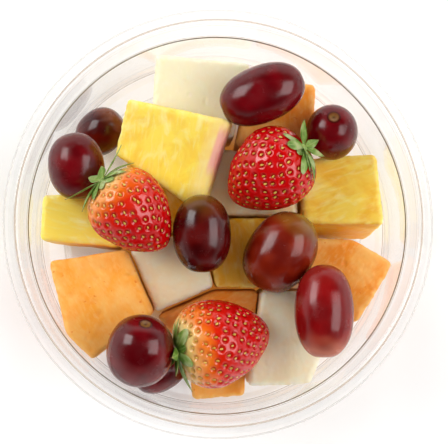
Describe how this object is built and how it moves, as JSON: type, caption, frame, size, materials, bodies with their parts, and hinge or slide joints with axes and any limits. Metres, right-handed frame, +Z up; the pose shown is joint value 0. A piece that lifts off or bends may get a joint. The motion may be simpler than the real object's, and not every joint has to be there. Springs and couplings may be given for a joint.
{
  "type": "fruit salad in a clear bowl",
  "caption": "Melon and pineapple chunks, whole dark grapes and whole strawberries with their green caps, piled in a round clear bowl with a rolled rim, open at the top.",
  "frame": {"origin": "middle of the ring that the bowl stands on, on the table", "axes": "+Z up out of the bowl's mouth; +X to the right and +Y away from a person who stands over the bowl"},
  "size_m": [0.1474, 0.1474, 0.06],
  "materials": {
    "clear_plastic": "clear, glossy, thin formed plastic sheet",
    "honeydew_flesh": "cut honeydew melon, pale green-cream, wet sheen",
    "cantaloupe_flesh": "cut cantaloupe melon, light orange, wet sheen",
    "pineapple_flesh": "cut pineapple, yellow, fibrous",
    "grape_skin": "dark red grape skin, glossy under a thin bloom",
    "brown_grape_skin": "brownish red grape skin, glossy",
    "strawberry_flesh": "ripe strawberry, red, paler at the stem, glossy",
    "sepal": "green strawberry leaves"
  },
  "bodies": {
    "root": {"bowl": "clear_plastic", "cantaloupe_bottom": "cantaloupe_flesh", "cantaloupe_inner": "cantaloupe_flesh", "cantaloupe_left": "cantaloupe_flesh", "cantaloupe_right": "cantaloupe_flesh", "cantaloupe_top": "cantaloupe_flesh", "grape_brown": "brown_grape_skin", "grape_hidden": "grape_skin", "grape_left": "grape_skin", "grape_lower_left": "grape_skin", "grape_lower_right": "grape_skin", "grape_middle": "grape_skin", "grape_right": "grape_skin", "grape_top": "grape_skin", "grape_upper_left": "grape_skin", "honeydew_bottom": "honeydew_flesh", "honeydew_left": "honeydew_flesh", "honeydew_middle": "honeydew_flesh", "honeydew_top": "honeydew_flesh", "pineapple_inner": "pineapple_flesh", "pineapple_left": "pineapple_flesh", "pineapple_middle": "pineapple_flesh", "pineapple_right": "pineapple_flesh", "pineapple_top": "pineapple_flesh", "strawberry_bottom": "strawberry_flesh", "strawberry_bottom_calyx": "sepal", "strawberry_left": "strawberry_flesh", "strawberry_left_calyx": "sepal", "strawberry_right": "strawberry_flesh", "strawberry_right_calyx": "sepal"}
  },
  "joints": []
}
